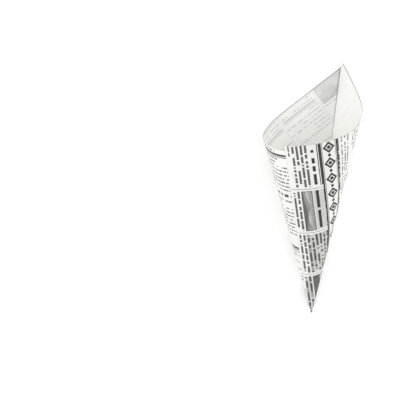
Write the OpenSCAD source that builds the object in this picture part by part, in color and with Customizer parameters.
// Pointed paper snack cone: one sheet folded along its diagonal and glued along one edge,
// opened out and lying on the flat of its short panel, tail towards -Y and mouth towards +Y.

/* [Sheet] */
// Length of the short panel's open edge, and of the glued edge from the tail to the rim
leg = 210; // [150:1:280]
// How far the long panel's open edge stands past the short panel's
lip = 6; // [2:0.5:12]
// Width of the glued lap where it meets the rim
lap = 4.5; // [3:0.5:12]
// Thickness of the paper
paper_t = 0.1; // [0.06:0.01:0.3]

/* [Opening] */
// Angle, seen from the tail, over which each panel stays flat beside the fold
flat_angle = 10; // [6:0.5:16]

/* [Hidden] */

// One panel is half a square, so it spans this angle at the tail
panel_angle = 45;
// Facets across the round part of each panel
round_facets = 24;
// Solid length at the tail, in sheet thicknesses
tail_thicknesses = 20;
// Halvings in the search for the cone's half angle
search_steps = 40;
paper_colour = [0.93, 0.92, 0.88];

// Angle at the tail that the lap covers
lap_angle = atan(lap / leg);
// Angle from the seam at which a panel's round part ends and its flat part starts
round_angle = panel_angle - flat_angle;
// Angle from the seam to the long panel's corner beside the fold
corner_angle = atan(leg / (leg + lip));
tail_r = tail_thicknesses * paper_t;

// How far a round cone of this half angle with two flats overshoots the panel's own angle
function overshoot(half) =
    flat_angle + (180 - atan(tan(flat_angle) / sin(half))) * sin(half) - panel_angle;

// Half angle at which both panels just close round the cone
function find_half(low, high, steps) =
    let (middle = (low + high) / 2)
    steps == 0 ? middle :
    overshoot(middle) > 0 ? find_half(low, middle, steps - 1) : find_half(middle, high, steps - 1);

half_angle = find_half(0, panel_angle, search_steps);
// Angle between the cone's axis and the fold
fold_lean = acos(cos(half_angle) * cos(flat_angle));

// Unit ray of the round part, turned about the axis from the seam
function round_ray(turn) =
    [sin(half_angle) * cos(turn), sin(half_angle) * sin(turn), cos(half_angle)];

fold_ray = [-sin(fold_lean), 0, cos(fold_lean)];

// Unit ray at a sheet angle from the seam; side is -1 on the short panel and 1 on the long one
function ray(angle, side) =
    angle <= round_angle ? round_ray(side * angle / sin(half_angle)) :
    let (flat_start = round_ray(side * round_angle / sin(half_angle)))
    let (past = angle - round_angle)
    (sin(flat_angle - past) * flat_start + sin(past) * fold_ray) / sin(flat_angle);

// Columns run once round the cone: seam, short panel, fold, long panel
round_angles = [for (i = [0 : round_facets])
    lap_angle + (round_angle - lap_angle) * i / round_facets];
short_angles = concat([0], round_angles, [panel_angle]);
long_angles = concat([corner_angle], [for (i = [round_facets : -1 : 0]) round_angles[i]]);
short_count = len(short_angles);
columns = short_count + len(long_angles);

function is_short(i) = i < short_count;
function angle_of(i) = is_short(i) ? short_angles[i] : long_angles[i - short_count];

rays = [for (i = [0 : columns - 1]) ray(angle_of(i), is_short(i) ? -1 : 1)];
normals = [for (i = [0 : columns - 1])
    let (facing = cross(rays[i], rays[(i + 1) % columns]))
    facing / norm(facing)];
// Mitred normals keep the sheet's thickness even on both sides of a column
mitres = [for (i = [0 : columns - 1])
    let (before = normals[(i + columns - 1) % columns])
    (before + normals[i]) / (1 + before * normals[i])];

// Rims in the flat sheet: straight open edges, and a square corner beside the fold
function short_rim(angle) = leg / cos(angle);
function long_rim(angle) =
    angle > corner_angle ? leg / sin(angle) : (leg + lip) / cos(angle);
function rim_r(i) = is_short(i) ? short_rim(angle_of(i)) : long_rim(angle_of(i));

// The long panel climbs over the short panel's edge where it nears the seam
function inner_level(i) =
    is_short(i) ? 0 : paper_t * max(0, 2 - angle_of(i) / lap_angle);
function outer_level(i) = inner_level(i) + paper_t;
lap_top = 2 * paper_t;

function at(i, r, level) = r * rays[i] + level * mitres[i];

// Points: both sides of the sheet at the tail and at the rim, then the lap's own layer
ring = [0 : columns - 1];
lap_columns = 2;
lap_ring = [0 : lap_columns - 1];
cone_points = concat(
    [for (i = ring) at(i, tail_r, inner_level(i))],
    [for (i = ring) at(i, rim_r(i), inner_level(i))],
    [for (i = ring) at(i, tail_r, outer_level(i))],
    [for (i = ring) at(i, rim_r(i), outer_level(i))],
    [for (i = lap_ring) at(i, long_rim(angle_of(i)), paper_t)],
    [for (i = lap_ring) at(i, tail_r, lap_top)],
    [for (i = lap_ring) at(i, long_rim(angle_of(i)), lap_top)],
    [[0, 0, tail_r * cos(half_angle)]],
    [[0, 0, -paper_t / sin(half_angle)]]
);

// Index of each kind of point
function inner_tail(i) = i;
function inner_rim(i) = columns + i;
function outer_tail(i) = 2 * columns + i;
function outer_rim(i) = 3 * columns + i;
function lap_under(i) = 4 * columns + i;
function lap_tail(i) = lap_under(lap_columns + i);
function lap_rim(i) = lap_tail(lap_columns + i);
hollow_end = lap_rim(lap_columns);
tail_point = hollow_end + 1;

function quad(a, b, c, d) = [[a, b, c], [a, c, d]];

last = columns - 1;
inner_faces = [for (i = [0 : last - 1])
    each quad(inner_tail(i), inner_rim(i), inner_rim(i + 1), inner_tail(i + 1))];
outer_faces = [for (i = [1 : last - 1])
    each quad(outer_tail(i), outer_tail(i + 1), outer_rim(i + 1), outer_rim(i))];
rim_faces = [for (i = [0 : last - 1])
    each quad(outer_rim(i), outer_rim(i + 1), inner_rim(i + 1), inner_rim(i))];
// The long panel's last facet runs over the short panel's edge into the lap
seam_faces = concat(
    [[inner_tail(last), inner_rim(last), lap_under(0)]],
    quad(inner_tail(last), lap_under(0), outer_rim(0), outer_tail(0)),
    quad(outer_tail(last), lap_tail(0), lap_rim(0), outer_rim(last)),
    quad(outer_rim(last), lap_rim(0), lap_under(0), inner_rim(last)),
    quad(inner_tail(0), outer_tail(0), outer_rim(0), inner_rim(0))
);
lap_faces = concat(
    quad(lap_tail(0), lap_tail(1), lap_rim(1), lap_rim(0)),
    quad(lap_rim(0), lap_rim(1), lap_under(1), lap_under(0)),
    quad(outer_rim(0), lap_under(0), lap_under(1), outer_rim(1)),
    quad(lap_tail(1), outer_tail(1), outer_rim(1), lap_under(1)),
    [[lap_tail(1), lap_under(1), lap_rim(1)]]
);
hollow_loop = concat([for (i = ring) inner_tail(i)], [outer_tail(0)]);
tail_loop = concat([for (i = lap_ring) lap_tail(i)], [for (i = [1 : last]) outer_tail(i)]);
tail_faces = concat(
    [for (i = [0 : len(hollow_loop) - 1])
        [hollow_end, hollow_loop[i], hollow_loop[(i + 1) % len(hollow_loop)]]],
    [for (i = [0 : len(tail_loop) - 1])
        [tail_point, tail_loop[(i + 1) % len(tail_loop)], tail_loop[i]]]
);

// Resting frame: the short panel's flat faces down, and the axis lies above +Y
down = normals[short_count - 2];
along = rays[short_count - 2];
across = cross(down, along);
resting = [for (p = cone_points) [p * across, p * along, paper_t - p * down]];
x_places = [for (p = resting) p[0]];
y_places = [for (p = resting) p[1]];
x_middle = (min(x_places) + max(x_places)) / 2;
y_middle = (min(y_places) + max(y_places)) / 2;

// The folded and glued sheet, one piece of paper
module paper_cone() {
    color(paper_colour)
    translate([-x_middle, -y_middle, 0])
    polyhedron(
        points = resting,
        faces = concat(inner_faces, outer_faces, rim_faces, seam_faces, lap_faces, tail_faces)
    );
}

paper_cone();
